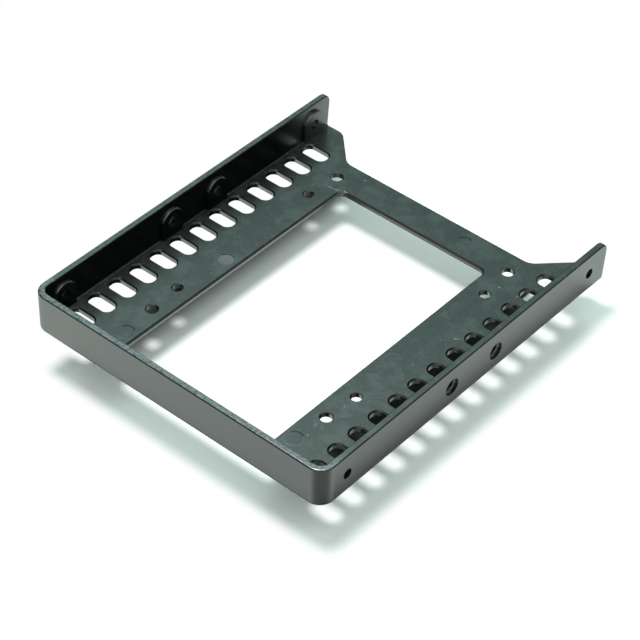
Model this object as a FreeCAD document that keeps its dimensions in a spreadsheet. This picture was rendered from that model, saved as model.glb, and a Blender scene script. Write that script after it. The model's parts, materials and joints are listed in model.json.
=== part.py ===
import FreeCAD, Part
import math
import os

import Sketcher

# Moulded bracket that carries a 2.5-inch drive in a 3.5-inch bay: a slotted base plate with a wall
# along its front and both sides, open at the far end. X runs across the bay, Y from the front wall
# to the far end and Z up from the underside. The origin is the centre of the underside. Sizes are
# in millimetres, and those that end in from_front start at the front wall's outer face.
SIZES = {
    # Envelope and walls
    "bay_width": 101.6,
    "wall_height": 12.7,
    "wall_thickness": 2.0,
    "plate_thickness": 1.6,
    "front_corner_radius": 4.5,
    "wall_end_lean": 4.1,
    "wall_end_radius": 2.6,
    # Edge roundings
    "base_edge_radius": 1.0,
    "outer_edge_radius": 0.5,
    "inner_edge_radius": 0.4,
    "inside_corner_radius": 0.5,
    "rim_bevel": 0.4,
    "hole_rim_bevel": 0.2,
    "pad_bevel": 0.3,
    # Central opening, which keeps a land beside the drive's screw holes, and the cross bar behind it
    "opening_land": 3.06,
    "opening_from_front": 7.7,
    "opening_corner_radius": 2.0,
    "bar_width": 10.7,
    # Notch behind the cross bar, which leaves each rail a straight end beside its wall
    "notch_depth": 10.55,
    "notch_slope": 45.0,
    "notch_root_radius": 4.8,
    "notch_lip_radius": 3.8,
    "rail_end_width": 5.2,
    # Ventilation slots along both rails, as a share of the space between screw holes and pads
    "slot_share": 0.588,
    "slot_width": 4.5,
    "slot_corner_radius": 2.0,
    "slot_land": 0.35,
    "slot_from_front": 9.8,
    "slot_from_end": 13.2,
    "slot_count": 13,
    # Screw holes of the drive, and a second set of four stepped in from them and outwards
    "drive_hole_diameter": 3.5,
    "drive_hole_span": 61.72,
    "drive_hole_reach": 76.6,
    "drive_hole_from_notch": 6.95,
    "second_hole_diameter": 3.1,
    "second_hole_outset": 0.94,
    "second_hole_near_step": 10.9,
    "second_hole_far_step": 11.5,
    # Bay screw holes in the side walls: the two middle ones have a recess for the screw head
    "side_hole_height": 6.35,
    "side_hole_from_front": 9.6,
    "side_hole_from_end": 7.8,
    "side_hole_reach": 101.6,
    "side_middle_near": 41.6,
    "side_middle_far": 60.0,
    "side_end_diameter": 3.0,
    "side_middle_diameter": 3.6,
    "side_recess_diameter": 5.1,
    "side_recess_depth": 1.1,
    # Round-topped pads on the inside of the walls behind those holes
    "pad_radius": 4.2,
    "pad_rise": 1.0,
}

# Sizes that follow from those above
FOLLOWING_SIZES = {
    "overall_length": "side_hole_from_front + side_hole_reach + side_hole_from_end",
    "notch_mouth_width": "bay_width - 2 * (wall_thickness + rail_end_width)",
    "notch_floor_width": "notch_mouth_width - 2 * notch_depth / tan(notch_slope * 1 deg)",
    "opening_width": "drive_hole_span - drive_hole_diameter - 2 * opening_land",
    "opening_length": "overall_length - opening_from_front - bar_width - notch_depth",
    "drive_hole_from_end": "notch_depth + drive_hole_from_notch",
    "drive_hole_from_front": "overall_length - drive_hole_from_end - drive_hole_reach",
    "second_hole_span": "drive_hole_span + 2 * second_hole_outset",
    "second_hole_reach": "drive_hole_reach - second_hole_near_step - second_hole_far_step",
    "second_hole_from_front": "drive_hole_from_front + second_hole_near_step",
    "pad_face_width": "bay_width - 2 * (wall_thickness + pad_rise)",
    "slot_length": "slot_share * (pad_face_width - second_hole_span - second_hole_diameter) / 2",
    "slot_pitch": "(overall_length - slot_from_front - slot_from_end) / (slot_count - 1)",
}

# Expressions over the sheet that several features share
HALF_WIDTH = "Sizes.bay_width / 2"
FRONT = "-Sizes.overall_length / 2"
PAST_END = "Sizes.overall_length / 2 + Sizes.wall_thickness"
INNER_HALF_WIDTH = f"{HALF_WIDTH} - Sizes.wall_thickness"
PAD_FACE = "Sizes.pad_face_width / 2"
OPENING_NEAR = f"{FRONT} + Sizes.opening_from_front"
OPENING_FAR = f"{OPENING_NEAR} + Sizes.opening_length"
BAR_EDGE = f"{OPENING_FAR} + Sizes.bar_width"
SIDE_HOLE_FIRST = f"{FRONT} + Sizes.side_hole_from_front"
SIDE_END_HOLES = [SIDE_HOLE_FIRST, f"{SIDE_HOLE_FIRST} + Sizes.side_hole_reach"]
SIDE_MIDDLE_HOLES = [
    f"{SIDE_HOLE_FIRST} + Sizes.side_middle_near",
    f"{SIDE_HOLE_FIRST} + Sizes.side_middle_far",
]

# Ends and centre of a sketch curve, and the distance within which two places are the same
START, END, CENTRE = range(1, 4)
SAME = 0.001

doc = FreeCAD.newDocument("drive_bracket")
sheet = doc.addObject("Spreadsheet::Sheet", "Sizes")
formulas = {alias: f"={formula}" for alias, formula in FOLLOWING_SIZES.items()}
for row, (alias, size) in enumerate({**SIZES, **formulas}.items(), start=1):
    sheet.set(f"A{row}", alias)
    sheet.set(f"B{row}", str(size))
    sheet.setAlias(f"B{row}", alias)
doc.recompute()

body = doc.addObject("PartDesign::Body", "mounting_bracket")
body.Label = "mounting_bracket"


def value(expression):
    """Number that an expression over the sheet gives."""
    return float(sheet.evalExpression(expression))


def origin_item(role):
    return next(item for item in body.Origin.OriginFeatures if item.Role == role)


def add_sketch(name, plane_role, height=None):
    """Sketch on an origin plane of the body, or lifted off it along its normal."""
    sketch = body.newObject("Sketcher::SketchObject", name)
    sketch.AttachmentSupport = [(origin_item(plane_role), "")]
    sketch.MapMode = "FlatFace"
    if height:
        sketch.setExpression("AttachmentOffset.Base.z", height)
    return sketch


def relate(sketch, kind, *where):
    sketch.addConstraint(Sketcher.Constraint(kind, *where))


def drive(sketch, kind, where, expression):
    """Dimension that follows an expression over the sheet."""
    index = sketch.addConstraint(Sketcher.Constraint(kind, *where, value(expression)))
    sketch.setExpression(f"Constraints[{index}]", expression)


def drive_angle(sketch, line, degrees):
    """Bearing of a line, as an expression in degrees."""
    index = sketch.addConstraint(Sketcher.Constraint("Angle", line, math.radians(value(degrees))))
    sketch.setExpression(f"Constraints[{index}]", f"({degrees}) * 1 deg")


def add_line(sketch, start, end):
    return sketch.addGeometry(Part.LineSegment(FreeCAD.Vector(*start), FreeCAD.Vector(*end)))


def add_arc(sketch, centre, radius, start_degrees, end_degrees):
    circle = Part.Circle(FreeCAD.Vector(*centre), FreeCAD.Vector(0, 0, 1), radius)
    start, end = math.radians(start_degrees), math.radians(end_degrees)
    return sketch.addGeometry(Part.ArcOfCircle(circle, start, end))


def add_circle(sketch, across, along, diameter):
    centre = FreeCAD.Vector(value(across), value(along))
    circle = sketch.addGeometry(Part.Circle(centre, FreeCAD.Vector(0, 0, 1), value(diameter) / 2))
    drive(sketch, "Diameter", (circle,), diameter)
    drive(sketch, "DistanceX", (circle, CENTRE), across)
    drive(sketch, "DistanceY", (circle, CENTRE), along)


def add_circle_pair(sketch, span, along, diameter):
    """Two equal circles, one on each side of the middle plane."""
    for side in ("-", ""):
        add_circle(sketch, f"{side}{span} / 2", along, diameter)


def add_wall_outline(sketch, half_width, front, far, radius):
    """Plan outline with straight sides and its two front corners rounded."""
    side, near, end, bend = value(half_width), value(front), value(far), value(radius)
    left = add_line(sketch, (-side, end), (-side, near + bend))
    left_corner = add_arc(sketch, (bend - side, near + bend), bend, 180, 270)
    front_edge = add_line(sketch, (bend - side, near), (side - bend, near))
    right_corner = add_arc(sketch, (side - bend, near + bend), bend, 270, 360)
    right = add_line(sketch, (side, near + bend), (side, end))
    far_edge = add_line(sketch, (side, end), (-side, end))
    relate(sketch, "Tangent", left, END, left_corner, START)
    relate(sketch, "Tangent", left_corner, END, front_edge, START)
    relate(sketch, "Tangent", front_edge, END, right_corner, START)
    relate(sketch, "Tangent", right_corner, END, right, START)
    relate(sketch, "Coincident", right, END, far_edge, START)
    relate(sketch, "Coincident", far_edge, END, left, START)
    relate(sketch, "Vertical", left)
    relate(sketch, "Vertical", right)
    relate(sketch, "Horizontal", front_edge)
    relate(sketch, "Horizontal", far_edge)
    relate(sketch, "Equal", left_corner, right_corner)
    drive(sketch, "Radius", (left_corner,), radius)
    drive(sketch, "DistanceX", (left, START), f"-({half_width})")
    drive(sketch, "DistanceX", (right, END), half_width)
    drive(sketch, "DistanceY", (front_edge, START), front)
    drive(sketch, "DistanceY", (far_edge, START), far)


def add_rounded_box(sketch, left, right, near, far, radius):
    """Rectangle with four equal rounded corners."""
    low_x, high_x, low_y, high_y = value(left), value(right), value(near), value(far)
    bend = value(radius)
    sides = [
        add_line(sketch, (low_x + bend, low_y), (high_x - bend, low_y)),
        add_line(sketch, (high_x, low_y + bend), (high_x, high_y - bend)),
        add_line(sketch, (high_x - bend, high_y), (low_x + bend, high_y)),
        add_line(sketch, (low_x, high_y - bend), (low_x, low_y + bend)),
    ]
    corners = [
        add_arc(sketch, (high_x - bend, low_y + bend), bend, 270, 360),
        add_arc(sketch, (high_x - bend, high_y - bend), bend, 0, 90),
        add_arc(sketch, (low_x + bend, high_y - bend), bend, 90, 180),
        add_arc(sketch, (low_x + bend, low_y + bend), bend, 180, 270),
    ]
    for number, corner in enumerate(corners):
        relate(sketch, "Tangent", sides[number], END, corner, START)
        relate(sketch, "Tangent", corner, END, sides[(number + 1) % len(sides)], START)
        relate(sketch, "Vertical" if number % 2 else "Horizontal", sides[number])
    for corner in corners[1:]:
        relate(sketch, "Equal", corners[0], corner)
    drive(sketch, "Radius", (corners[0],), radius)
    drive(sketch, "DistanceY", (sides[0], START), near)
    drive(sketch, "DistanceX", (sides[1], START), right)
    drive(sketch, "DistanceY", (sides[2], START), far)
    drive(sketch, "DistanceX", (sides[3], START), left)


def add_pad_outline(sketch, along):
    """Side view of a screw pad: straight sides that start inside the plate, under a half-round top."""
    middle, height = value(along), value("Sizes.side_hole_height")
    bend, foot = value("Sizes.pad_radius"), value("Sizes.plate_thickness / 2")
    top = add_arc(sketch, (middle, height), bend, 0, 180)
    down = add_line(sketch, (middle - bend, height), (middle - bend, foot))
    base = add_line(sketch, (middle - bend, foot), (middle + bend, foot))
    up = add_line(sketch, (middle + bend, foot), (middle + bend, height))
    relate(sketch, "Tangent", top, END, down, START)
    relate(sketch, "Coincident", down, END, base, START)
    relate(sketch, "Coincident", base, END, up, START)
    relate(sketch, "Tangent", up, END, top, START)
    relate(sketch, "Vertical", down)
    relate(sketch, "Vertical", up)
    relate(sketch, "Horizontal", base)
    drive(sketch, "Radius", (top,), "Sizes.pad_radius")
    drive(sketch, "DistanceX", (top, CENTRE), along)
    drive(sketch, "DistanceY", (top, CENTRE), "Sizes.side_hole_height")
    drive(sketch, "DistanceY", (base, START), "Sizes.plate_thickness / 2")


def add_far_space(sketch):
    """Side view of the space past the far end: the end leans out, and its top corner is rounded."""
    lean = math.radians(value("Sizes.wall_end_lean"))
    bend = value("Sizes.wall_end_radius")
    clear = value("Sizes.wall_thickness")
    centre_y = value("Sizes.overall_length / 2") - bend
    centre_z = value("Sizes.wall_height") - bend
    past, above, below = value(PAST_END), centre_z + bend + clear, -clear
    shoulder = (centre_y + bend * math.cos(lean), centre_z - bend * math.sin(lean))
    foot = (shoulder[0] - (shoulder[1] - below) * math.tan(lean), below)
    face = add_line(sketch, foot, shoulder)
    corner = add_arc(sketch, (centre_y, centre_z), bend, -math.degrees(lean), 90)
    rise = add_line(sketch, (centre_y, centre_z + bend), (centre_y, above))
    roof = add_line(sketch, (centre_y, above), (past, above))
    back = add_line(sketch, (past, above), (past, below))
    floor = add_line(sketch, (past, below), foot)
    relate(sketch, "Tangent", face, END, corner, START)
    relate(sketch, "Coincident", corner, END, rise, START)
    relate(sketch, "Coincident", rise, END, roof, START)
    relate(sketch, "Coincident", roof, END, back, START)
    relate(sketch, "Coincident", back, END, floor, START)
    relate(sketch, "Coincident", floor, END, face, START)
    relate(sketch, "Vertical", rise)
    relate(sketch, "Vertical", back)
    relate(sketch, "Horizontal", roof)
    relate(sketch, "Horizontal", floor)
    relate(sketch, "Vertical", corner, CENTRE, corner, END)
    drive_angle(sketch, face, "90 - Sizes.wall_end_lean")
    drive(sketch, "Radius", (corner,), "Sizes.wall_end_radius")
    drive(sketch, "DistanceX", (corner, CENTRE), "Sizes.overall_length / 2 - Sizes.wall_end_radius")
    drive(sketch, "DistanceY", (corner, CENTRE), "Sizes.wall_height - Sizes.wall_end_radius")
    drive(sketch, "DistanceX", (back, START), PAST_END)
    drive(sketch, "DistanceY", (roof, START), "Sizes.wall_height + Sizes.wall_thickness")
    drive(sketch, "DistanceY", (floor, START), "-Sizes.wall_thickness")


def add_notch_outline(sketch):
    """Plan of the notch behind the cross bar: a straight floor and two sloping sides."""
    floor_x, near, past = value("Sizes.notch_floor_width / 2"), value(BAR_EDGE), value(PAST_END)
    mouth_x = floor_x + (past - near) / math.tan(math.radians(value("Sizes.notch_slope")))
    corners = [(-floor_x, near), (floor_x, near), (mouth_x, past), (-mouth_x, past)]
    sides = []
    for number, corner in enumerate(corners):
        sides.append(add_line(sketch, corner, corners[(number + 1) % len(corners)]))
    for number, side in enumerate(sides):
        relate(sketch, "Coincident", side, END, sides[(number + 1) % len(sides)], START)
    floor, right, mouth, left = sides
    relate(sketch, "Horizontal", floor)
    relate(sketch, "Horizontal", mouth)
    drive(sketch, "DistanceX", (floor, START), "-Sizes.notch_floor_width / 2")
    drive(sketch, "DistanceX", (floor, END), "Sizes.notch_floor_width / 2")
    drive(sketch, "DistanceY", (floor, START), BAR_EDGE)
    drive(sketch, "DistanceY", (mouth, START), PAST_END)
    drive_angle(sketch, right, "Sizes.notch_slope")
    drive_angle(sketch, left, "-Sizes.notch_slope")


def add_feature(kind, name, sketch, length=None):
    """Pad or Pocket of a sketch: to a length, or right through both ways where none is given."""
    before = 0.0 if body.Shape.isNull() else body.Shape.Volume
    feature = body.newObject(f"PartDesign::{kind}", name)
    feature.Profile = sketch
    if length:
        feature.setExpression("Length", length)
    else:
        feature.Type = "ThroughAll"
        feature.Midplane = True
    doc.recompute()
    gain = body.Shape.Volume - before
    if gain == 0 or (gain > 0) != (kind == "Pad"):
        raise RuntimeError(f"{name} changes the volume by {gain}")
    return feature


def mirror_across(name, feature):
    """Repeat a feature on the other side of the middle plane."""
    mirrored = body.newObject("PartDesign::Mirrored", name)
    mirrored.Originals = [feature]
    mirrored.MirrorPlane = (origin_item("YZ_Plane"), [""])
    body.Tip = mirrored
    doc.recompute()


def dress_edges(kind, name, size, wanted):
    """Fillet or Chamfer of every edge of the body that passes a test."""
    base = body.Tip
    names = [f"Edge{number}" for number, edge in enumerate(base.Shape.Edges, start=1) if wanted(edge)]
    feature = body.newObject(f"PartDesign::{kind}", name)
    feature.Base = (base, names)
    feature.setExpression("Radius" if kind == "Fillet" else "Size", size)
    doc.recompute()


def spans_heights(edge, low, high):
    return abs(edge.BoundBox.ZMin - low) < SAME and abs(edge.BoundBox.ZMax - high) < SAME


def lies_beside(edge, distance):
    """Whether an edge is all at one distance from the middle plane, on either side."""
    box = edge.BoundBox
    return box.XLength < SAME and abs(abs(box.Center.x) - distance) < SAME


def build_tray():
    """Blank with rounded front corners, hollowed to the plate, rounded at its base inside and out."""
    outline = add_sketch("outline", "XY_Plane")
    add_wall_outline(outline, HALF_WIDTH, FRONT, PAST_END, "Sizes.front_corner_radius")
    add_feature("Pad", "blank", outline, "Sizes.wall_height")
    hollow = add_sketch("hollow", "XY_Plane", "Sizes.wall_height")
    inner_front = f"{FRONT} + Sizes.wall_thickness"
    inner_far = f"{PAST_END} + Sizes.wall_thickness"
    inner_radius = "Sizes.front_corner_radius - Sizes.wall_thickness"
    add_wall_outline(hollow, INNER_HALF_WIDTH, inner_front, inner_far, inner_radius)
    add_feature("Pocket", "tray", hollow, "Sizes.wall_height - Sizes.plate_thickness")
    plate_top, past = value("Sizes.plate_thickness"), value(PAST_END)
    dress_edges(
        "Fillet",
        "base_edge",
        "Sizes.base_edge_radius",
        lambda edge: spans_heights(edge, 0, 0) and edge.CenterOfMass.y < past - SAME,
    )
    dress_edges(
        "Fillet",
        "inside_corner",
        "Sizes.inside_corner_radius",
        lambda edge: spans_heights(edge, plate_top, plate_top) and edge.CenterOfMass.y < past - SAME,
    )


def build_pads():
    """Screw pads on the inside of both walls, with a bevel round each face."""
    outlines = add_sketch("pad_outlines", "YZ_Plane", PAD_FACE)
    for along in SIDE_END_HOLES + SIDE_MIDDLE_HOLES:
        add_pad_outline(outlines, along)
    pads = add_feature("Pad", "right_pads", outlines, "Sizes.pad_rise + Sizes.wall_thickness / 2")
    mirror_across("left_pads", pads)
    face_at, plate_top = value(PAD_FACE), value("Sizes.plate_thickness")
    dress_edges(
        "Chamfer",
        "pad_rims",
        "Sizes.pad_bevel",
        lambda edge: lies_beside(edge, face_at) and edge.BoundBox.ZMax > plate_top + SAME,
    )


def build_far_end():
    """Leaning far end, and the notch between the rails, with its roots and lips rounded."""
    far_space = add_sketch("far_space", "YZ_Plane")
    add_far_space(far_space)
    add_feature("Pocket", "far_end", far_space)
    notch_outline = add_sketch("notch_outline", "XY_Plane")
    add_notch_outline(notch_outline)
    add_feature("Pocket", "notch", notch_outline)
    plate_top, halfway = value("Sizes.plate_thickness"), value(f"({BAR_EDGE} + {PAST_END}) / 2")
    dress_edges(
        "Fillet",
        "notch_roots",
        "Sizes.notch_root_radius",
        lambda edge: spans_heights(edge, 0, plate_top) and edge.CenterOfMass.y < halfway,
    )
    dress_edges(
        "Fillet",
        "notch_lips",
        "Sizes.notch_lip_radius",
        lambda edge: spans_heights(edge, 0, plate_top) and edge.CenterOfMass.y > halfway,
    )


def build_edge_loops():
    """Rounding that runs along the wall tops, down the wall ends and back along the notch."""
    wall_top, limit = value("Sizes.wall_height"), value(f"{HALF_WIDTH} - Sizes.wall_thickness / 2")
    inner_limit = value(f"{FRONT} + Sizes.wall_thickness / 2")

    def is_inner(edge):
        box = edge.BoundBox
        return max(-box.XMin, box.XMax) < limit and box.YMin > inner_limit

    def is_top(edge):
        return spans_heights(edge, wall_top, wall_top)

    dress_edges(
        "Fillet",
        "inner_edges",
        "Sizes.inner_edge_radius",
        lambda edge: is_top(edge) and is_inner(edge),
    )
    dress_edges(
        "Fillet",
        "outer_edges",
        "Sizes.outer_edge_radius",
        lambda edge: is_top(edge) and abs(edge.CenterOfMass.x) > limit,
    )


def upper_rims(of_holes):
    """Edges round what is cut in the plate's top: round holes, which have one edge each, or the rest."""
    plate_top = value("Sizes.plate_thickness")
    rims = []
    for face in body.Tip.Shape.Faces:
        if spans_heights(face, plate_top, plate_top):
            for wire in face.Wires:
                if not wire.isSame(face.OuterWire) and (len(wire.Edges) == 1) == of_holes:
                    rims.extend(wire.Edges)
    return rims


def build_plate_openings():
    """Central opening, the slots of both rails and the plate's screw holes, with bevelled upper rims."""
    opening = add_sketch("opening_outline", "XY_Plane")
    half_opening = "Sizes.opening_width / 2"
    add_rounded_box(
        opening, f"-{half_opening}", half_opening, OPENING_NEAR, OPENING_FAR, "Sizes.opening_corner_radius"
    )
    add_feature("Pocket", "opening", opening)

    slots = add_sketch("slot_outlines", "XY_Plane")
    slot_middle = f"{FRONT} + Sizes.slot_from_front"
    slot_near, slot_far = f"{slot_middle} - Sizes.slot_width / 2", f"{slot_middle} + Sizes.slot_width / 2"
    slot_outer = f"{PAD_FACE} - Sizes.slot_land - Sizes.rim_bevel"
    slot_inner = f"{slot_outer} - Sizes.slot_length"
    radius = "Sizes.slot_corner_radius"
    add_rounded_box(slots, slot_inner, slot_outer, slot_near, slot_far, radius)
    add_rounded_box(slots, f"-({slot_outer})", f"-({slot_inner})", slot_near, slot_far, radius)
    first_slots = add_feature("Pocket", "first_slots", slots)
    slot_rows = body.newObject("PartDesign::LinearPattern", "slot_rows")
    slot_rows.Originals = [first_slots]
    slot_rows.Direction = (origin_item("Y_Axis"), [""])
    slot_rows.setExpression("Length", "Sizes.slot_pitch * (Sizes.slot_count - 1)")
    slot_rows.setExpression("Occurrences", "Sizes.slot_count")
    body.Tip = slot_rows
    doc.recompute()

    holes = add_sketch("screw_holes", "XY_Plane")
    for name in ("drive_hole", "second_hole"):
        first = f"{FRONT} + Sizes.{name}_from_front"
        for along in (first, f"{first} + Sizes.{name}_reach"):
            add_circle_pair(holes, f"Sizes.{name}_span", along, f"Sizes.{name}_diameter")
    add_feature("Pocket", "plate_screw_holes", holes)

    rims = upper_rims(of_holes=False)
    dress_edges("Chamfer", "rims", "Sizes.rim_bevel", lambda edge: any(map(edge.isSame, rims)))
    rounds = upper_rims(of_holes=True)
    dress_edges("Chamfer", "hole_rims", "Sizes.hole_rim_bevel", lambda edge: any(map(edge.isSame, rounds)))


def build_side_holes():
    """Bay screw holes through both walls and their pads, the middle pair recessed and bevelled outside."""
    holes = add_sketch("side_holes", "YZ_Plane")
    recesses = add_sketch("side_recess_outlines", "YZ_Plane", HALF_WIDTH)
    for along in SIDE_END_HOLES:
        add_circle(holes, along, "Sizes.side_hole_height", "Sizes.side_end_diameter")
    for along in SIDE_MIDDLE_HOLES:
        add_circle(holes, along, "Sizes.side_hole_height", "Sizes.side_middle_diameter")
        add_circle(recesses, along, "Sizes.side_hole_height", "Sizes.side_recess_diameter")
    add_feature("Pocket", "side_screw_holes", holes)
    recess = add_feature("Pocket", "right_recesses", recesses, "Sizes.side_recess_depth")
    mirror_across("left_recesses", recess)
    recess_floor = value(f"{HALF_WIDTH} - Sizes.side_recess_depth")
    hole_radius = value("Sizes.side_middle_diameter / 2")
    dress_edges(
        "Chamfer",
        "recess_hole_rims",
        "Sizes.hole_rim_bevel",
        lambda edge: lies_beside(edge, recess_floor) and abs(edge.Curve.Radius - hole_radius) < SAME,
    )


build_tray()
build_pads()
build_far_end()
build_edge_loops()
build_plate_openings()
build_side_holes()

for item in doc.Objects:
    if "Invalid" in item.State or "Error" in item.State:
        raise RuntimeError(f"{item.Name} failed: {item.State}")
if body.Shape.isNull() or not body.Shape.isValid() or len(body.Shape.Solids) != 1:
    raise RuntimeError("The bracket is not one valid solid")

os.makedirs("parts", exist_ok=True)
body.Shape.exportStep(f"parts/{body.Label}.step")
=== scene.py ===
import json
import math

import bpy
from bpy.props import FloatProperty, FloatVectorProperty, PointerProperty
from mathutils import Matrix, Quaternion, Vector


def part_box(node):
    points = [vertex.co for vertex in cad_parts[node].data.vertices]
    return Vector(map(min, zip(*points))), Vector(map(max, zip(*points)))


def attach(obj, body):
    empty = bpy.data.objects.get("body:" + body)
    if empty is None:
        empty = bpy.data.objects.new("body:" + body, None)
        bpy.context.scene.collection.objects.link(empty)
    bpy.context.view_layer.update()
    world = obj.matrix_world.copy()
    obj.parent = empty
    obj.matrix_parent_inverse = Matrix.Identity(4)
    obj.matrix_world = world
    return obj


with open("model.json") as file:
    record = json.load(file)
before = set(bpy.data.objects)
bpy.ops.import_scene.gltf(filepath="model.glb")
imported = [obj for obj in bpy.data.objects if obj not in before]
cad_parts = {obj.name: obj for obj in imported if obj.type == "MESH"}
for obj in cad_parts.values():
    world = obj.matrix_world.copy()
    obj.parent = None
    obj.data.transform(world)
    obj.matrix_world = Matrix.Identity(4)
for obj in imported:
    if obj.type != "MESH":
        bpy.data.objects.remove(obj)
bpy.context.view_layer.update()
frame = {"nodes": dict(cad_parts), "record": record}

bl_info = {
    "name": "Drive Bracket Looks",
    "version": (1, 0, 0),
    "blender": (4, 5, 0),
    "location": "3D View > Sidebar > Bracket",
    "description": "Gives a moulded drive bracket its finish and sets it above a white floor",
    "category": "Object",
}

NODE = "mounting_bracket"
MM = 0.001
WHITE = (1.0, 1.0, 1.0)
BLACK = (0.0, 0.0, 0.0)

LOW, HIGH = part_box(NODE)
MOUNTS = {mount["name"]: mount for mount in frame["record"]["mounts"]}
PLATE_TOP = MOUNTS["drive_seat"]["pos_m"][2]
OPENING = next(o for o in frame["record"]["physics"]["openings"] if o["name"] == "middle_opening")

# Scuffs on the plate, in millimetres: middle across and along, turn in degrees, half length,
# half width, and how strongly each one shows.
SCUFFS = (
    (-31.0, 36.8, 21, 1.1, 0.14, 0.4),
    (-29.0, 37.1, 1, 1.3, 0.16, 0.55),
    (-27.0, 37.5, 22, 1.2, 0.18, 0.7),
    (-27.2, 37.4, 0, 0.35, 0.3, 1.0),
    (-25.0, 38.4, 0, 0.35, 0.3, 1.0),
    (-24.4, 38.5, 8, 0.8, 0.16, 0.8),
    (-33.5, 34.8, 85, 1.5, 0.12, 0.25),
    (-33.5, 3.6, 40, 0.9, 0.16, 0.35),
    (-23.9, 46.1, 0, 0.3, 0.25, 0.7),
    (37.2, 11.0, 34, 1.2, 0.18, 0.8),
    (34.4, 8.0, 0, 0.28, 0.25, 0.6),
    (34.9, -4.5, 0, 0.28, 0.25, 0.6),
    (39.0, 35.6, 0, 0.3, 0.25, 0.6),
    (33.1, 35.3, 60, 0.7, 0.4, 0.35),
    (35.2, -22.9, 30, 0.4, 0.2, 0.45),
    (31.9, -28.7, -66, 1.1, 0.14, 0.4),
    (30.7, -38.6, 88, 1.1, 0.14, 0.4),
    (31.6, -42.7, 0, 0.3, 0.25, 0.7),
)
# Depth to which a scuff reaches, its edge in half sizes, and what shows of it where it breaks up.
SCUFF_DEPTH = 0.5 * MM
SCUFF_EDGE = (1.0, 0.5)
SCUFF_BREAKS = 0.35

# Each pair from here on is where a mask starts and where it is full.
# Turn of a face, as the part of its normal along an axis or toward the near corner:
LEVEL = (0.6, 0.9)
NOT_LEVEL = (0.45, 0.2)
FLAT_TOP = (0.75, 0.95)
EDGE_ABOVE_SIDE = (0.15, 0.35)
EDGE_BELOW_TOP = (0.99, 0.93)
FRONTWARD = (-0.7, -0.95)
NOT_BACKWARD = (0.7, 0.4)
SIDEWAYS = (0.95, 0.99)
CORNERWARD = (0.76, 0.99)

# Distance across, negative on faces that look to the middle line:
INNER_WALLS = (LOW.x * 0.6, LOW.x * 0.9)
OPENING_EDGES = (LOW.x * 0.3, LOW.x * 0.45)

# Place in the bracket's frame:
INNER_FADE = (HIGH.y, HIGH.y * 0.6)
BAR_ACROSS = (HIGH.x * 0.54, HIGH.x * 0.52)
BAR_ALONG = (HIGH.y * 0.55, HIGH.y * 0.6)
PADS_INSIDE = (HIGH.x - 5.3 * MM, HIGH.x - 4.3 * MM)
PADS_OUTSIDE = (HIGH.x - 1.2 * MM, HIGH.x - 1.3 * MM)
PADS_FOOT = (PLATE_TOP, PLATE_TOP + 0.3 * MM)
PADS_LOWER_HALF = (HIGH.z * 0.55, HIGH.z * 0.5)
PADS_TOP = (HIGH.z - 0.5 * MM, HIGH.z - 0.8 * MM)
PADS_FRONT = (LOW.y + 3 * MM, LOW.y + 4 * MM)

# Level of a pattern or of another mask:
HAZE_PATCHES = (0.42, 0.7)
HAZE_GRAIN = (0.35, 0.7)
SPECK_EDGE = (0.14, 0.06)
SPECK_CHOICE = (0.72, 0.95)
CREST_GRAIN = (0.3, 0.65)
SCUFFED_GRAIN = (0.3, 0.55)
HAZED = (0.0, 0.7)
WHOLE_MASK = (0.0, 1.0)

# Single values: the way to the near corner, the normal past which a face looks up, the patches'
# share of the haze, the gloss of clean and of hazed plastic, and the edges of the floor's shade.
NEAR_CORNER = Vector((1, -1, 0)).normalized()
UPWARD = 0.5
PATCH_SHARE = 0.7
CLEAN_GLOSS = 0.98
HAZED_GLOSS = 1.16
SOFT_EDGE = 3 * MM
CRISP_EDGE = MM


def length(name, description, default):
    """Property for a length in metres, given in millimetres."""
    return FloatProperty(
        name=name, description=description, default=default * MM, unit="LENGTH", precision=5
    )


def share(name, description, default):
    """Property for a part of one."""
    return FloatProperty(
        name=name, description=description, default=default, min=0, max=1, subtype="FACTOR"
    )


def plain_number(name, description, default, least=0):
    """Property for a plain number."""
    return FloatProperty(name=name, description=description, default=default, min=least)


def colour(name, description, default):
    """Property for a colour."""
    return FloatVectorProperty(
        name=name, description=description, default=default, min=0, max=1, subtype="COLOR"
    )


def place(name, description, default):
    """Property for a place in metres."""
    return FloatVectorProperty(
        name=name, description=description, default=default, subtype="TRANSLATION", precision=4
    )


def angle(name, description, degrees):
    """Property for an angle, given in degrees."""
    return FloatProperty(
        name=name, description=description, default=math.radians(degrees), subtype="ANGLE"
    )


def toward(turn, rise):
    """Direction at a turn to the right of the front and a rise above the horizon."""
    return Vector((
        math.sin(turn) * math.cos(rise),
        -math.cos(turn) * math.cos(rise),
        math.sin(rise),
    ))


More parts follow.
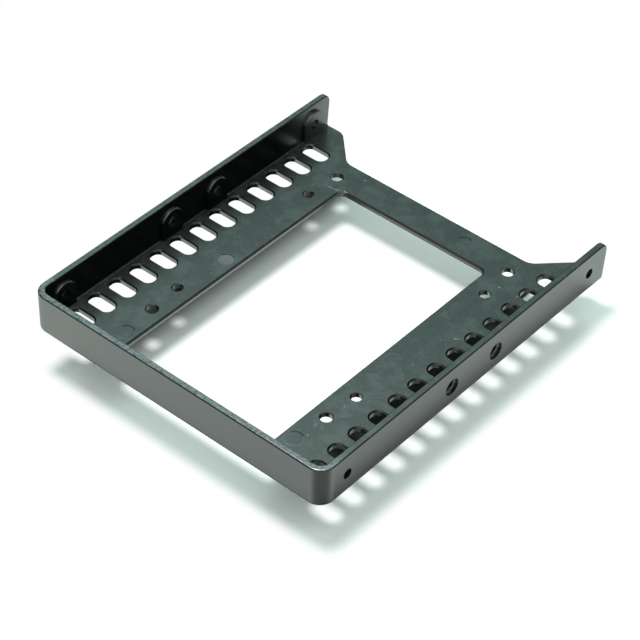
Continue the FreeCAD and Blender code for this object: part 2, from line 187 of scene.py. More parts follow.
class PlasticSettings(bpy.types.PropertyGroup):
    """Black moulded plastic with a satin skin."""

    deep_colour: colour("Deep colour", "Darkest tone of the plastic", (0.0015, 0.002, 0.0018))
    haze_colour: colour("Haze colour", "Tone of hazed patches", (0.016, 0.021, 0.02))
    # Rubbed wall tops: wear, lightened also as a painted sheen.
    crest_rub_and_sheen_colour: colour("Crest colour", "Tone of the rubbed wall tops", (0.115, 0.14, 0.155))
    dust_colour: colour("Dust colour", "Tone of settled dust", (0.3, 0.32, 0.31))
    # Painted light: the floors of the side screws' seats are lightened to show the light they
    # catch.
    seat_light_colour: colour("Seat colour", "Tone of the side screws' seats", (0.2, 0.2, 0.19))
    roughness: share("Roughness", "Roughness of the clean body", 0.3)
    haze_roughness: share("Haze roughness", "Roughness that a hazed patch adds", 0.12)
    coat_roughness: share("Coat roughness", "Roughness of the glossy skin on top", 0.28)
    refraction: plain_number("Refraction", "Index of refraction of the skin", 3.1, 1)
    body_refraction: plain_number("Body refraction", "Index of refraction below the skin", 1.55, 1)
    body_gloss: share("Body gloss", "Strength of the reflection below the skin", 0.0)
    # Painted shade: the gloss settings from here to the opening's gloss lower the gloss by place,
    # so those faces show darker.
    corner_shade: share("Corner wear", "Gloss that the near corner has lost", 0.65)
    inner_dullness: share("Inner dullness", "Gloss that the walls lack inside", 0.95)
    far_dullness: share("Far dullness", "Gloss that the walls lack inside at the far end", 0.3)
    edge_dullness: share("Edge dullness", "Gloss that rounded and bevelled edges lack", 0.65)
    near_gloss: share("Near gloss", "Gloss of the walls beside the near corner", 0.76)
    level_gloss: share("Level gloss", "Gloss of the level faces at the front", 0.69)
    far_level_gloss: share("Far level gloss", "Gloss of the level faces at the far end", 0.53)
    front_gloss: share("Front gloss", "Front wall's gloss as a part of the side walls' gloss", 0.89)
    bar_gloss: share("Bar gloss", "Gloss of the cross bar's near face", 0.35)
    opening_gloss: share("Opening gloss", "Gloss of the rails' edges at the opening", 0.5)
    grain_size: length("Grain size", "Width of one grain of the moulded skin", 0.9)
    grain_depth: length("Grain depth", "Depth of the grain", 0.012)
    haze_size: length("Haze size", "Width of a hazed patch", 6.0)
    dust_spacing: length("Dust spacing", "Distance between places where a speck may lie", 1.1)
    # Where the rubbing and the painted sheen on the wall tops are strongest.
    front_rub_and_sheen: length("Front rub", "How far back from the front the tops are rubbed most", 12.0)
    left_rub_and_sheen: share("Left rub", "How much the left wall's top is rubbed", 0.25)
    crest_depth: length("Crest depth", "How far down from the wall tops the rubbing reaches", 0.35)
    seat_depth: length("Seat depth", "Outside of the walls to the side screws' seats", 1.1)


class DetailSettings(bpy.types.PropertyGroup):
    """Fine marks that the mould leaves."""

    mark_diameter: length("Mark diameter", "Diameter of an ejector pin's mark", 4.4)
    mark_rise: length("Mark rise", "How far a mark's lip stands above the plate", 0.035)
    mark_sink: length("Mark sink", "How far the mark lies below its lip", 0.03)
    mark_lip: length("Mark lip", "Width of the steep slope inside the lip", 0.22)
    mark_rim: length("Mark rim", "Width of the gentle slope outside the lip", 0.5)
    # Painted shade: on some marks, the lip's faces within the gap's arc take a dark, dull plastic.
    gap_turn: angle("Gap turn", "Turn of the middle of the dark gap round a mark from +X", 110.0)
    gap_half: angle("Gap half", "Half of the angle over which the gap is open", 55.0)
    pale_tone: colour("Pale tone", "Haze on the palest mark", (0.075, 0.073, 0.08))
    cool_tone: colour("Cool tone", "Haze on the bluest mark", (0.012, 0.021, 0.028))
    rail_mark_span: length("Rail mark span", "Distance across between the rails' marks", 59.5)
    rail_mark_from_front: length("Rail mark from front", "Front wall to the first marks", 13.8)
    rail_mark_reach: length("Rail mark reach", "First to second marks along a rail", 39.4)
    bar_mark_span: length("Bar mark span", "Distance between the cross bar's marks", 28.4)
    bar_mark_from_end: length("Bar mark from end", "Far end to the cross bar's marks", 15.8)
    line_height: length("Line height", "Height of the parting line's ridge", 0.28)
    line_rise: length("Line rise", "How far the ridge stands out of the opening's edge", 0.12)
    line_gloss: plain_number(
        "Line gloss", "Gloss of the ridge as a multiple of the gloss beside it", 2.0
    )
    opening_corner: length("Opening corner", "Corner radius of the opening", 2.0)
    opening_play: length("Opening play", "Free space stated round the opening's box", 0.35)


class StageSettings(bpy.types.PropertyGroup):
    """Floor, light and camera."""

    floor_drop: length("Floor drop", "Distance from the bracket's underside to the floor", 10.8)
    floor_size: length("Floor size", "Width of the floor", 4000.0)
    floor_colour: colour("Floor colour", "Colour of the floor", (0.97, 0.97, 0.97))
    # Painted shade: the floor's colour is darkened below the rails; the settings from here to the
    # cut place it.
    shade_colour: colour("Shade colour", "Floor in the shade of the rails", (0.03, 0.035, 0.033))
    right_shade_start: length("Right shade start", "Middle line to the right rail's shade", 26.5)
    right_shade_full: length("Right shade full", "Middle line to where that shade is deepest", 29.5)
    right_shade_end: length("Right shade end", "Middle line to the end of that shade", 42.5)
    left_shade_start: length("Left shade start", "Middle line to the left rail's shade", 28.5)
    left_shade_full: length("Left shade full", "Middle line to where that shade is deepest", 38.5)
    left_shade_end: length("Left shade end", "Middle line to the end of that shade", 46.0)
    shade_front: length("Shade front", "Front wall to the near end of the shade", 10.5)
    shade_back: length("Shade back", "Far end to the far end of the shade", 7.5)
    cut_across: length("Cut across", "Middle line to the cut in the right shade's far end", 33.0)
    cut_back: length("Cut back", "Far end to the near end of that cut", 13.5)
    shadow_middle: place("Shadow middle", "Middle of the full shadow", (0.0069, 0.0002, 0.0))
    shadow_half: place("Shadow half size", "Half size of the full shadow", (0.0479, 0.06, 0.0))
    rim_end: length("Rim end", "Full shadow to where the floor is plain white", 5.8)
    mirror_colour: colour("Mirror colour", "Floor as the walls mirror it", (0.89, 1.0, 0.935))
    # Painted shadow in reflections: glossy rays find the floor darker near the bracket.
    rim_dimming: share("Rim dimming", "How much darker the walls mirror the floor near them", 0.95)
    rim_mirror_start: length(
        "Rim mirror start", "Full shadow to where the mirrored floor starts to clear", 3.0
    )
    rim_mirror_end: length(
        "Rim mirror end", "Full shadow to where the mirrored floor is plain white", 11.5
    )
    lamp_place: place("Lamp place", "Centre of the overhead lamp", (-0.038, -0.016, 0.38))
    lamp_size: length("Lamp size", "Diameter of the overhead lamp", 115.0)
    lamp_level: plain_number("Lamp level", "Overhead light on a floor that is white at 1", 0.72)
    box_turn: angle("Box turn", "Turn of the far soft box from the front", 205.0)
    box_rise: angle("Box rise", "Height of the far soft box above the horizon", 45.0)
    box_level: plain_number("Box level", "Far soft box's light on a floor that is white at 1", 0.15)
    box_size: length("Box size", "Width of the soft box", 500.0)
    box_distance: length("Box distance", "Distance of the soft box from the bracket", 1000.0)
    box_colour: colour("Box colour", "Colour of the soft box's light", (0.84, 1.0, 0.92))
    sheen_colour: colour("Sheen colour", "Far light that the level faces mirror", (0.36, 0.55, 0.5))
    sheen_spread: angle("Sheen spread", "Half angle of the far light", 65.0)
    near_turn: angle("Near light turn", "Turn of the near light from the front", 45.0)
    near_rise: angle("Near light rise", "Height of the near light above the horizon", 46.0)
    near_colour: colour("Near light colour", "Near light that the rims mirror", (0.9, 1.0, 0.95))
    near_spread: angle("Near light spread", "Half angle of the near light", 62.0)
    room_colour: colour("Room colour", "Light from the rest of the room", (0.15, 0.17, 0.163))
    camera_place: place("Camera place", "Place of the camera", (0.30287, -0.36727, 0.42451))
    camera_azimuth: angle("Azimuth", "Turn of the camera to the right of the front", 39.586)
    camera_elevation: angle("Elevation", "Height of the camera above the horizon", 42.184)
    camera_roll: angle("Roll", "Lean of the camera", 1.774)
    lens: FloatProperty(
        name="Lens", description="Focal length on a 36 mm sensor", default=132.28, unit="CAMERA"
    )


def join(tree, output, target):
    """Link from an output to an input."""
    tree.links.new(output, target)


def fill(tree, socket, term):
    """Join a socket to another one, or set its value."""
    if isinstance(term, bpy.types.NodeSocket):
        join(tree, term, socket)
    else:
        socket.default_value = term


def fill_named(tree, node, inputs):
    """Fill a node's inputs by their names, in which underscores stand for spaces."""
    for name, term in inputs.items():
        fill(tree, node.inputs[name.replace("_", " ")], term)
    return node


def add_node(tree, kind, **inputs):
    """Shader node with its named inputs filled."""
    return fill_named(tree, tree.nodes.new(f"ShaderNode{kind}"), inputs)


def add_group(tree, group, **inputs):
    """Group node with its named inputs filled."""
    node = tree.nodes.new("ShaderNodeGroup")
    node.node_tree = group
    return fill_named(tree, node, inputs)


def math_node(tree, operation, *terms, clamp=False):
    """Math node of which each term is a socket or a number."""
    node = add_node(tree, "Math")
    node.operation = operation
    node.use_clamp = clamp
    for socket, term in zip(node.inputs, terms):
        fill(tree, socket, term)
    return node.outputs["Value"]


def vector_node(tree, operation, *terms):
    """Vector Math node of which each term is a socket or a vector."""
    node = add_node(tree, "VectorMath")
    node.operation = operation
    for socket, term in zip(node.inputs, terms):
        fill(tree, socket, term)
    gives_number = operation in ("DOT_PRODUCT", "DISTANCE", "LENGTH")
    return node.outputs["Value" if gives_number else "Vector"]


def split(tree, vector):
    """Sockets for the X, Y and Z of a vector."""
    return add_node(tree, "SeparateXYZ", Vector=vector).outputs


def product(tree, first, *others):
    """All terms multiplied."""
    for other in others:
        first = math_node(tree, "MULTIPLY", first, other)
    return first


def without(tree, mask):
    """What a mask leaves of one."""
    return math_node(tree, "SUBTRACT", 1.0, mask)


def ramp(tree, value, span, low=0.0, high=1.0):
    """Smooth step from low to high as a value goes over a span."""
    node = add_node(
        tree, "MapRange", Value=value, From_Min=span[0], From_Max=span[1], To_Min=low, To_Max=high
    )
    node.interpolation_type = "SMOOTHSTEP"
    return node.outputs["Result"]


def blend_values(tree, factor, first, second):
    """Mix of two numbers."""
    node = add_node(tree, "Mix")
    for number, term in ((0, factor), (2, first), (3, second)):
        fill(tree, node.inputs[number], term)
    return node.outputs[0]


def blend_colours(tree, factor, first, second):
    """Mix of two colours, each a socket or a value."""
    node = add_node(tree, "Mix")
    node.data_type = "RGBA"
    join(tree, factor, node.inputs[0])
    for number, term in ((6, first), (7, second)):
        is_socket = isinstance(term, bpy.types.NodeSocket)
        fill(tree, node.inputs[number], term if is_socket else (*term, 1.0))
    return node.outputs[2]


def start_group(name, inputs, outputs):
    """Node group with number sockets, and the sockets that its own nodes join to."""
    group = bpy.data.node_groups.new(name, "ShaderNodeTree")
    for side, sockets in (("INPUT", inputs), ("OUTPUT", outputs)):
        for socket in sockets:
            group.interface.new_socket(socket, in_out=side, socket_type="NodeSocketFloat")
    given = group.nodes.new("NodeGroupInput").outputs
    result = group.nodes.new("NodeGroupOutput").inputs
    return group, given, result


def make_skin_group():
    """Moulded skin: height of the grain, hazed patches, and specks of dust on level faces."""
    group, given, result = start_group(
        "moulded_skin", ("Grain Scale", "Haze Scale", "Dust Scale"), ("Grain", "Haze", "Dust")
    )
    position = add_node(group, "TexCoord").outputs["Object"]
    normal = split(group, add_node(group, "NewGeometry").outputs["Normal"])
    level = ramp(group, normal["Z"], LEVEL)

    grain = add_node(
        group, "TexNoise", Vector=position, Scale=given["Grain Scale"], Detail=3.0, Roughness=0.6
    ).outputs["Fac"]
    join(group, grain, result["Grain"])

    haze = add_node(
        group, "TexNoise", Vector=position, Scale=given["Haze Scale"],
        Detail=6.0, Roughness=0.62, Distortion=0.5,
    ).outputs["Fac"]
    fine = math_node(group, "MULTIPLY", ramp(group, grain, HAZE_GRAIN), 1 - PATCH_SHARE)
    patches = ramp(group, haze, HAZE_PATCHES)
    uneven = math_node(group, "MULTIPLY_ADD", patches, PATCH_SHARE, fine)
    join(group, product(group, uneven, level), result["Haze"])

    cells = add_node(
        group, "TexVoronoi", Vector=position, Scale=given["Dust Scale"], Randomness=1.0
    )
    speck = ramp(group, cells.outputs["Distance"], SPECK_EDGE)
    channels = add_node(group, "SeparateColor", Color=cells.outputs["Color"])
    chosen = ramp(group, channels.outputs["Red"], SPECK_CHOICE)
    join(group, product(group, speck, chosen, level), result["Dust"])
    return group


def make_wear_and_light_group(settings):
    """Wear and painted light: rubbed wall tops with a painted sheen, scuffs on the plate, and
    painted light on the side screws' seats.
    """
    group, given, result = start_group("wear_and_painted_light", ("Grain",), ("Rubbed_and_sheen", "Scuffs", "Seat_light"))
    position = add_node(group, "TexCoord").outputs["Object"]
    spot = split(group, position)
    normal = split(group, add_node(group, "NewGeometry").outputs["Normal"])

    # Rubbed wall tops: wear, and a painted sheen that is strongest at the front.
    depth = settings.crest_depth
    crest = ramp(group, spot["Z"], (HIGH.z - depth, HIGH.z - depth / 3))
    front_span = (LOW.y + settings.front_rub_and_sheen, LOW.y + settings.front_rub_and_sheen / 4)
    front = ramp(group, spot["Y"], front_span)
    left = ramp(group, spot["X"], (0.0, LOW.x), 0.0, settings.left_rub_and_sheen)
    rubbed = product(
        group, crest, ramp(group, normal["Z"], FLAT_TOP),
        ramp(group, given["Grain"], CREST_GRAIN), math_node(group, "MAXIMUM", front, left),
    )
    join(group, rubbed, result["Rubbed_and_sheen"])

    broken = ramp(group, given["Grain"], SCUFFED_GRAIN, SCUFF_BREAKS, 1.0)
    join(group, product(group, all_scuffs(group, position), broken), result["Scuffs"])

    # Painted light on the floors of the side screws' seats.
    aside = math_node(group, "ABSOLUTE", spot["X"])
    past_seat = math_node(group, "SUBTRACT", aside, HIGH.x - settings.seat_depth)
    seat_span = (settings.seat_depth / 10, settings.seat_depth / 20)
    at_seat = ramp(group, math_node(group, "ABSOLUTE", past_seat), seat_span)
    sideways = ramp(group, math_node(group, "ABSOLUTE", normal["X"]), SIDEWAYS)
    join(group, product(group, at_seat, sideways), result["Seat_light"])
    return group


def all_scuffs(tree, position):
    """Mask of the scuffs on the plate's top."""
    mask = 0.0
    for across, along, turn, half_length, half_width, strength in SCUFFS:
        patch = add_node(
            tree, "Mapping", Vector=position, Location=(across * MM, along * MM, PLATE_TOP),
            Rotation=(0, 0, math.radians(turn)),
            Scale=(half_length * MM, half_width * MM, SCUFF_DEPTH),
        )
        patch.vector_type = "TEXTURE"
        out = vector_node(tree, "LENGTH", patch.outputs["Vector"])
        mask = math_node(tree, "MAXIMUM", mask, ramp(tree, out, SCUFF_EDGE, 0.0, strength))
    return mask


def make_gloss_group(settings):
    """Gloss left in the skin, lowered by place as painted shade: inside the walls, on level faces,
    edges and the near corner.
    """
    group, given, result = start_group("gloss_left", ("Gloss", "Haze"), ("Coat",))
    position = add_node(group, "TexCoord").outputs["Object"]
    facing = add_node(group, "NewGeometry").outputs["Normal"]
    spot, normal = split(group, position), split(group, facing)
    aside = math_node(group, "ABSOLUTE", spot["X"])
    outward = product(group, spot["X"], normal["X"])

    # Painted shade: the near corner's gloss is cut, so that it shows darker.
    cornerward = vector_node(group, "DOT_PRODUCT", facing, NEAR_CORNER)
    corner = ramp(group, cornerward, CORNERWARD, 1.0, 1 - settings.corner_shade)

    pads = product(
        group, ramp(group, aside, PADS_INSIDE), ramp(group, aside, PADS_OUTSIDE),
        ramp(group, spot["Z"], PADS_FOOT), ramp(group, spot["Z"], PADS_TOP),
        ramp(group, spot["Y"], PADS_FRONT),
    )
    steep = ramp(group, normal["Z"], NOT_LEVEL)
    steep = math_node(group, "MAXIMUM", steep, ramp(group, spot["Z"], PADS_LOWER_HALF))
    pad_sides = product(group, pads, steep, ramp(group, normal["Y"], NOT_BACKWARD))
    inner = math_node(group, "MAXIMUM", ramp(group, outward, INNER_WALLS), pad_sides)
    fade = ramp(group, spot["Y"], INNER_FADE, settings.far_dullness, settings.inner_dullness)

    on_bar = product(group, ramp(group, aside, BAR_ACROSS), ramp(group, spot["Y"], BAR_ALONG))
    loss = ramp(group, on_bar, WHOLE_MASK, 1 - settings.front_gloss, 1 - settings.bar_gloss)
    loss = product(group, ramp(group, normal["Y"], FRONTWARD), loss)

    opening = product(group, ramp(group, outward, OPENING_EDGES), without(group, inner))
    edge = product(
        group, ramp(group, normal["Z"], EDGE_ABOVE_SIDE), ramp(group, normal["Z"], EDGE_BELOW_TOP),
        without(group, pads),
    )

    reach = vector_node(group, "DISTANCE", position, (HIGH.x, LOW.y, HIGH.z / 2))
    upright = ramp(group, reach, (0.0, HIGH.y - LOW.y), settings.near_gloss, 1.0)
    lying_span = (LOW.y, HIGH.y)
    lying = ramp(group, spot["Y"], lying_span, settings.level_gloss, settings.far_level_gloss)

    left = product(
        group, corner, without(group, product(group, inner, fade)), without(group, loss),
        ramp(group, opening, WHOLE_MASK, 1.0, settings.opening_gloss),
        ramp(group, edge, WHOLE_MASK, 1.0, 1 - settings.edge_dullness),
        blend_values(group, ramp(group, normal["Z"], LEVEL), upright, lying),
    )
    left = math_node(group, "MULTIPLY", left, given["Gloss"], clamp=True)
    hazed = ramp(group, given["Haze"], HAZED, CLEAN_GLOSS, HAZED_GLOSS)
    join(group, product(group, left, hazed), result["Coat"])
    return group


def make_plastic(settings, name, deep, haze, roughness=1.0, gloss=1.0):
    """Black satin plastic of two tones; roughness and gloss are multiples of the plain ones."""
    material = bpy.data.materials.new(name)
    material.use_nodes = True
    tree = material.node_tree
    shader = tree.nodes["Principled BSDF"]
    shader.inputs["IOR"].default_value = settings.body_refraction
    shader.inputs["Specular IOR Level"].default_value = settings.body_gloss
    shader.inputs["Coat IOR"].default_value = settings.refraction
    shader.inputs["Coat Roughness"].default_value = settings.coat_roughness

    groups = bpy.data.node_groups
    skin = add_group(
        tree, groups.get("moulded_skin") or make_skin_group(),
        Grain_Scale=1 / settings.grain_size, Haze_Scale=1 / settings.haze_size,
        Dust_Scale=1 / settings.dust_spacing,
    ).outputs
    wear_and_light = add_group(
        tree, groups.get("wear_and_painted_light") or make_wear_and_light_group(settings), Grain=skin["Grain"]
    ).outputs
    left = add_group(
        tree, groups.get("gloss_left") or make_gloss_group(settings),
        Gloss=gloss, Haze=skin["Haze"],
    ).outputs

    body = blend_colours(tree, skin["Haze"], deep, haze)
    # Rubbed wall tops: wear, lightened also as a painted sheen.
    body = blend_colours(tree, wear_and_light["Rubbed_and_sheen"], body, settings.crest_rub_and_sheen_colour)
    # Painted light on the floors of the side screws' seats.
    body = blend_colours(tree, wear_and_light["Seat_light"], body, settings.seat_light_colour)
    body = blend_colours(tree, skin["Dust"], body, settings.dust_colour)
    body = blend_colours(tree, wear_and_light["Scuffs"], body, settings.dust_colour)
    join(tree, body, shader.inputs["Base Color"])

    plain = settings.roughness * roughness
    rough = math_node(tree, "MULTIPLY_ADD", skin["Haze"], settings.haze_roughness, plain)
    join(tree, rough, shader.inputs["Roughness"])
    join(tree, left["Coat"], shader.inputs["Coat Weight"])

    bump = add_node(
        tree, "Bump", Strength=0.6, Distance=settings.grain_depth, Height=skin["Grain"]
    )
    join(tree, bump.outputs["Normal"], shader.inputs["Normal"])
    return material


def start_piece():
    """Deselect everything, so that an operator acts on the next piece alone."""
    bpy.ops.object.select_all(action="DESELECT")


def finish_piece(name, material):
    """Give the active object its name, shading and material, and let it ride on the bracket."""
    piece = bpy.context.active_object
    piece.name = name
    piece.data.name = name
    bpy.ops.object.transform_apply(location=True, rotation=True, scale=True)
    bpy.ops.object.shade_smooth_by_angle(angle=math.radians(30))
    piece.data.materials.clear()
    piece.data.materials.append(material)
    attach(piece, "root")
    return piece


class BRACKET_OT_finish_plastic(bpy.types.Operator):
    """Give the bracket its black satin plastic"""

    bl_idname = "bracket.finish_plastic"
    bl_label = "Finish plastic"

    def execute(self, context):
        plastic = context.scene.bracket_plastic
        material = make_plastic(
            plastic, "satin_black_plastic", plastic.deep_colour, plastic.haze_colour
        )
        node = frame["nodes"][NODE]
        node.data.materials.clear()
        node.data.materials.append(material)
        return {"FINISHED"}


class BRACKET_OT_add_pin_marks(bpy.types.Operator):
    """Add the round marks that the ejector pins leave on the rails and the cross bar"""

    bl_idname = "bracket.add_pin_marks"
    bl_label = "Add pin marks"

    def execute(self, context):
        details = context.scene.bracket_details
        plastic = context.scene.bracket_plastic
        plain = bpy.data.materials["satin_black_plastic"]
        pale_deep = details.pale_tone * 0.8
        pale = make_plastic(
            plastic, "dulled_black_plastic", pale_deep, details.pale_tone, roughness=1.3, gloss=0.9
        )
        cool_deep = details.cool_tone * 0.6
        cool = make_plastic(
            plastic, "burnished_black_plastic", cool_deep, details.cool_tone,
            roughness=0.8, gloss=0.85,
        )
        # Painted shade for the gap's arc on a mark's lip.
        dark = make_plastic(
            plastic, "shaded_black_plastic", plastic.deep_colour, plastic.deep_colour, gloss=0.1
        )
        mark = self.model_mark(details, plain)
        gaps_and_discs = (
            (dark, plain), (dark, cool), (dark, pale), (plain, plain), (plain, plain), (dark, plain)
        )
        rows = zip(self.places(details), gaps_and_discs)
        for number, ((across, along), (gap, disc)) in enumerate(rows, start=1):
            copy = mark.copy()
            copy.data = mark.data.copy()
            copy.name = f"pin_mark_{number}"
            copy.data.materials[1] = gap
            copy.data.materials[2] = disc
            copy.data.transform(Matrix.Translation((across, along, PLATE_TOP)))
            context.collection.objects.link(copy)
            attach(copy, "root")
        bpy.data.objects.remove(mark)
        return {"FINISHED"}

    def places(self, details):
        """Places across and along: two on each rail and two on the cross bar, left ones first."""
        rail = details.rail_mark_span / 2
        first = LOW.y + details.rail_mark_from_front
        bar = details.bar_mark_span / 2
        far = HIGH.y - details.bar_mark_from_end
        rows = [(rail, first), (rail, first + details.rail_mark_reach), (bar, far)]
        return [(side * across, along) for across, along in rows for side in (-1, 1)]

    def model_mark(self, details, material):
        """One mark round the origin: a disc inside a low lip, with its foot sunk into the plate."""
        start_piece()
        sunk = PLATE_TOP / 4
        bpy.ops.mesh.primitive_cylinder_add(
            vertices=64,
            radius=details.mark_diameter / 2 + details.mark_lip + details.mark_rim,
            depth=sunk,
            location=(0, 0, -sunk / 2),
        )
        mark = bpy.context.active_object
        bpy.ops.object.mode_set(mode="EDIT")
        bpy.ops.mesh.select_mode(type="FACE")
        bpy.ops.mesh.select_all(action="DESELECT")
        bpy.ops.object.mode_set(mode="OBJECT")
        for face in mark.data.polygons:
            face.select = face.normal.z > UPWARD
        bpy.ops.object.mode_set(mode="EDIT")
        bpy.ops.mesh.inset(thickness=details.mark_rim, depth=details.mark_rise)
        bpy.ops.mesh.inset(thickness=details.mark_lip, depth=-details.mark_sink)
        bpy.ops.object.mode_set(mode="OBJECT")
        piece = finish_piece("pin_mark", material)
        bpy.ops.object.shade_flat()
        piece.data.materials.append(material)
        piece.data.materials.append(material)
        for face in piece.data.polygons:
            out = face.center.xy.length - details.mark_diameter / 2
            turn = math.atan2(face.center.y, face.center.x)
            if out < 0:
                face.material_index = 2
            # Painted shade: lip faces within the gap's arc take the gap's material.
            elif out < details.mark_lip and abs(turn - details.gap_turn) < details.gap_half:
                face.material_index = 1
        return piece


class BRACKET_OT_add_parting_line(bpy.types.Operator):
    """Add the fine ridge that the mould's parting leaves round the edge of the opening"""

    bl_idname = "bracket.add_parting_line"
    bl_label = "Add parting line"

    def execute(self, context):
        details = context.scene.bracket_details
        plastic = context.scene.bracket_plastic
        material = make_plastic(
            plastic, "glossy_black_plastic", plastic.deep_colour, plastic.haze_colour,
            gloss=details.line_gloss,
        )
        low, high = (Vector(corner) for corner in OPENING["box_m"])
        middle = (low + high) / 2
        play = Vector((details.opening_play, details.opening_play, 0))
        size = high - low + 2 * play
        start_piece()
        bpy.ops.mesh.primitive_plane_add(size=1, location=(middle.x, middle.y, PLATE_TOP / 2))
        bpy.context.active_object.scale = (size.x, size.y, 1)
        bpy.ops.object.transform_apply(location=True, rotation=True, scale=True)
        bpy.ops.object.mode_set(mode="EDIT")
        bpy.ops.mesh.select_all(action="SELECT")
        bpy.ops.mesh.bevel(offset=details.opening_corner, segments=12, affect="VERTICES")
        bpy.ops.mesh.select_all(action="SELECT")
        bpy.ops.mesh.inset(thickness=details.line_rise)
        bpy.ops.mesh.delete(type="FACE")
        bpy.ops.mesh.select_all(action="SELECT")
        bpy.ops.mesh.extrude_region_move(
            TRANSFORM_OT_translate={"value": (0, 0, details.line_height)}
        )
        bpy.ops.mesh.select_all(action="SELECT")
        bpy.ops.mesh.normals_make_consistent(inside=False)
        bpy.ops.transform.translate(value=(0, 0, -details.line_height / 2))
        bpy.ops.object.mode_set(mode="OBJECT")
        finish_piece("parting_line", material)
        return {"FINISHED"}


class BRACKET_OT_set_stage(bpy.types.Operator):
    """Set the white floor, the lamps, the surrounding light and the camera"""

    bl_idname = "bracket.set_stage"
    bl_label = "Set stage"

    def execute(self, context):
        stage = context.scene.bracket_stage
        self.lay_floor(stage)
        self.hang_lamps(context, stage)
        self.light_world(context, stage)
        self.place_camera(context, stage)
        context.scene.view_settings.view_transform = "Standard"
        return {"FINISHED"}

    def lay_floor(self, stage):
        """White floor a little below the bracket."""
        start_piece()
        bpy.ops.mesh.primitive_plane_add(
            size=stage.floor_size, location=(0, 0, LOW.z - stage.floor_drop)
        )
        floor = bpy.context.active_object
        floor.name = "floor"
        floor.data.materials.append(self.make_floor_material(stage))

    def make_floor_material(self, stage):
        """Matt floor with painted shade under the rails, plain white past the shadow and clear from
        below.
        """
        material = bpy.data.materials.new("white_floor")
        material.use_nodes = True
        tree = material.node_tree
        shader = tree.nodes["Principled BSDF"]
        shader.inputs["Roughness"].default_value = 1.0
        shader.inputs["Specular IOR Level"].default_value = 0.0
        position = add_node(tree, "TexCoord").outputs["Object"]
        ray = add_node(tree, "LightPath").outputs
        past_shadow = self.distance_outside(tree, position, stage.shadow_middle, stage.shadow_half)
        start, end = stage.rim_mirror_start, stage.rim_mirror_end

        # Painted shade: the floor's colour darkened below the rails.
        shaded = self.shade_under_rails(tree, stage, position)
        # Painted shadow for reflections: glossy rays find the floor darker close to the bracket.
        painted_mirror_shadow = product(
            tree, ramp(tree, past_shadow, (end, start)), ramp(tree, past_shadow, (0.0, start / 4)),
            ray["Is Glossy Ray"], stage.rim_dimming,
        )
        tone = blend_colours(tree, shaded, stage.floor_colour, stage.shade_colour)
        tone = blend_colours(tree, painted_mirror_shadow, tone, BLACK)
        join(tree, tone, shader.inputs["Base Color"])

        pale = blend_colours(tree, ray["Is Camera Ray"], stage.mirror_colour, WHITE)
        white = add_node(tree, "Emission", Color=pale, Strength=1.0)
        seen = product(tree, ramp(tree, past_shadow, (0.0, stage.rim_end)), ray["Is Camera Ray"])
        mirrored = product(
            tree, ramp(tree, past_shadow, (start, end)),
            math_node(tree, "MAXIMUM", ray["Is Glossy Ray"], ray["Is Transmission Ray"]),
        )
        bright = math_node(tree, "MAXIMUM", seen, mirrored)
        above = self.mix_shaders(tree, bright, shader.outputs["BSDF"], white.outputs["Emission"])

        from_below = add_node(tree, "NewGeometry").outputs["Backfacing"]
        clear = add_node(tree, "BsdfTransparent").outputs["BSDF"]
        surface = self.mix_shaders(tree, from_below, above, clear)
        join(tree, surface, tree.nodes["Material Output"].inputs["Surface"])
        return material

    def mix_shaders(self, tree, factor, first, second):
        """Mix of two shaders."""
        node = add_node(tree, "MixShader")
        for number, term in enumerate((factor, first, second)):
            join(tree, term, node.inputs[number])
        return node.outputs["Shader"]

    def distance_outside(self, tree, position, middle, half):
        """Distance on the floor from a rectangle, and nothing inside it."""
        out = vector_node(tree, "ABSOLUTE", vector_node(tree, "SUBTRACT", position, middle))
        past = vector_node(tree, "MAXIMUM", vector_node(tree, "SUBTRACT", out, half), (0, 0, 0))
        return vector_node(tree, "LENGTH", past)

    def shade_under_rails(self, tree, stage, position):
        """Mask of the painted shade below both rails, where the floor's colour is darkened."""
        spot = split(tree, position)
        to_right, along = spot["X"], spot["Y"]
        to_left = math_node(tree, "MULTIPLY", to_right, -1.0)
        right = self.strip(
            tree, to_right, stage.right_shade_start, stage.right_shade_full, stage.right_shade_end
        )
        left = self.strip(
            tree, to_left, stage.left_shade_start, stage.left_shade_full, stage.left_shade_end
        )
        cut = HIGH.y - stage.cut_back
        cut_side = stage.cut_across - CRISP_EDGE / 2
        cut_out = product(
            tree, ramp(tree, to_right, (cut_side, cut_side + CRISP_EDGE)),
            ramp(tree, along, (cut, cut + CRISP_EDGE)),
        )
        right = product(tree, right, without(tree, cut_out))
        front = LOW.y + stage.shade_front
        back = HIGH.y - stage.shade_back
        return product(
            tree, math_node(tree, "MAXIMUM", right, left),
            ramp(tree, along, (front, front + SOFT_EDGE)),
            ramp(tree, along, (back, back - CRISP_EDGE)),
        )

    def strip(self, tree, across, start, full, end):
        """Strip that deepens from a start to where it is full, and ends with a soft edge."""
        return product(
            tree, ramp(tree, across, (start, full)), ramp(tree, across, (end, end - SOFT_EDGE))
        )

    def hang_lamps(self, context, stage):
        """Small lamp overhead, and a soft box at the far left."""
        self.add_lamp(context, "lamp", stage.lamp_place, stage.lamp_size, stage.lamp_level)
        spot = toward(stage.box_turn, stage.box_rise) * stage.box_distance
        box = self.add_lamp(context, "soft_box", spot, stage.box_size, stage.box_level)
        box.data.color = stage.box_colour
        box.visible_glossy = False

    def add_lamp(self, context, name, spot, size, level):
        """Disk lamp that faces the bracket and gives the floor the stated level."""
        spot = Vector(spot)
        data = bpy.data.lights.new(name, "AREA")
        data.shape = "DISK"
        data.size = size
        data.energy = level * math.pi ** 2 * spot.length_squared / spot.normalized().z
        lamp = bpy.data.objects.new(name, data)
        lamp.location = spot
        lamp.rotation_mode = "QUATERNION"
        lamp.rotation_quaternion = (-spot).to_track_quat("-Z", "Y")
        context.collection.objects.link(lamp)
        return lamp

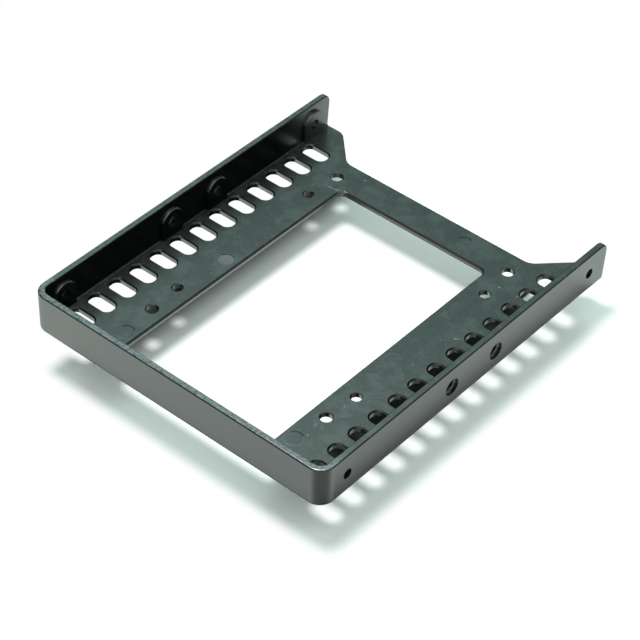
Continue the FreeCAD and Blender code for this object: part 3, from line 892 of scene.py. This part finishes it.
    def light_world(self, context, stage):
        """Dim room with a pale green light at the far left and a near one, seen as plain white."""
        world = bpy.data.worlds.new("studio")
        world.use_nodes = True
        tree = world.node_tree
        far = self.spread_round(tree, toward(stage.box_turn, stage.box_rise), stage.sheen_spread)
        near = self.spread_round(tree, toward(stage.near_turn, stage.near_rise), stage.near_spread)
        light = blend_colours(tree, far, stage.room_colour, stage.sheen_colour)
        light = blend_colours(tree, near, light, stage.near_colour)
        seen = add_node(tree, "LightPath").outputs["Is Camera Ray"]
        light = blend_colours(tree, seen, light, WHITE)
        join(tree, light, tree.nodes["Background"].inputs["Color"])
        context.scene.world = world

    def spread_round(self, tree, direction, spread):
        """Soft round spot of the sky about a direction."""
        looking = add_node(tree, "TexCoord").outputs["Generated"]
        edge = math.cos(spread)
        return ramp(
            tree, vector_node(tree, "DOT_PRODUCT", looking, direction), (edge, (1 + edge) / 2)
        )

    def place_camera(self, context, stage):
        """Camera at the viewing angle, with a slight lean."""
        data = bpy.data.cameras.new("camera")
        data.lens = stage.lens
        camera = bpy.data.objects.new("camera", data)
        camera.location = stage.camera_place
        back = toward(stage.camera_azimuth, stage.camera_elevation)
        upright = (-back).to_track_quat("-Z", "Y")
        camera.rotation_mode = "QUATERNION"
        camera.rotation_quaternion = upright @ Quaternion((0, 0, 1), stage.camera_roll)
        context.collection.objects.link(camera)
        context.scene.camera = camera


class BRACKET_PT_looks(bpy.types.Panel):
    """Steps that dress the bracket, and their settings"""

    bl_idname = "BRACKET_PT_looks"
    bl_label = "Bracket looks"
    bl_space_type = "VIEW_3D"
    bl_region_type = "UI"
    bl_category = "Bracket"

    def draw(self, context):
        for operator in OPERATORS:
            self.layout.operator(operator.bl_idname)
        for group in GROUPS:
            settings = getattr(context.scene, group)
            for name in settings.__annotations__:
                self.layout.prop(settings, name)


OPERATORS = (
    BRACKET_OT_finish_plastic,
    BRACKET_OT_add_pin_marks,
    BRACKET_OT_add_parting_line,
    BRACKET_OT_set_stage,
)
GROUPS = {
    "bracket_plastic": PlasticSettings,
    "bracket_details": DetailSettings,
    "bracket_stage": StageSettings,
}
CLASSES = (*GROUPS.values(), *OPERATORS, BRACKET_PT_looks)


def register():
    for item in CLASSES:
        bpy.utils.register_class(item)
    for name, group in GROUPS.items():
        setattr(bpy.types.Scene, name, PointerProperty(type=group))


def unregister():
    for name in GROUPS:
        delattr(bpy.types.Scene, name)
    for item in reversed(CLASSES):
        bpy.utils.unregister_class(item)


def main():
    """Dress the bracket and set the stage."""
    register()
    bpy.ops.bracket.finish_plastic()
    bpy.ops.bracket.add_pin_marks()
    bpy.ops.bracket.add_parting_line()
    bpy.ops.bracket.set_stage()


if __name__ == "__main__":
    main()
